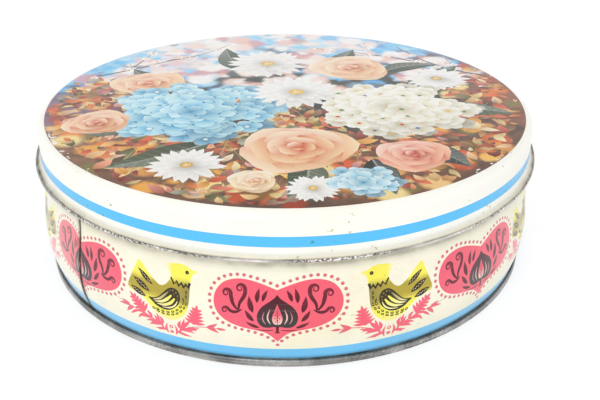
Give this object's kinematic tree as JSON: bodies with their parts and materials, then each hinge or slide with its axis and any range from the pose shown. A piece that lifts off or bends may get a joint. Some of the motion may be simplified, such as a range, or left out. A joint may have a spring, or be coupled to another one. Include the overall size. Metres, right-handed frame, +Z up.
{
  "type": "bobbin box",
  "caption": "Round tinplate box with a slip-over lid that lifts off, for keeping bobbins and sewing notions.",
  "frame": {"origin": "middle of the circle that the tin stands on, at the foot of the bottom seam", "axes": "+Z up along the tin's round axis, -Y towards the heart that faces the viewer; the side seam is at 223 degrees from +X, between -X and -Y"},
  "size_m": [0.1898, 0.1898, 0.0551],
  "materials": {
    "printed_lid": "gloss",
    "printed_wall": "gloss",
    "bare_tinplate": "satin"
  },
  "bodies": {
    "tin": {"wall": "printed_wall", "bottom": "bare_tinplate"},
    "lid": {"lid": "printed_lid"}
  },
  "joints": [
    {"name": "lid_lift", "type": "slide", "parent": "tin", "child": "lid", "axis": [0, 0, 1], "range_m": [0, 0.1]}
  ]
}
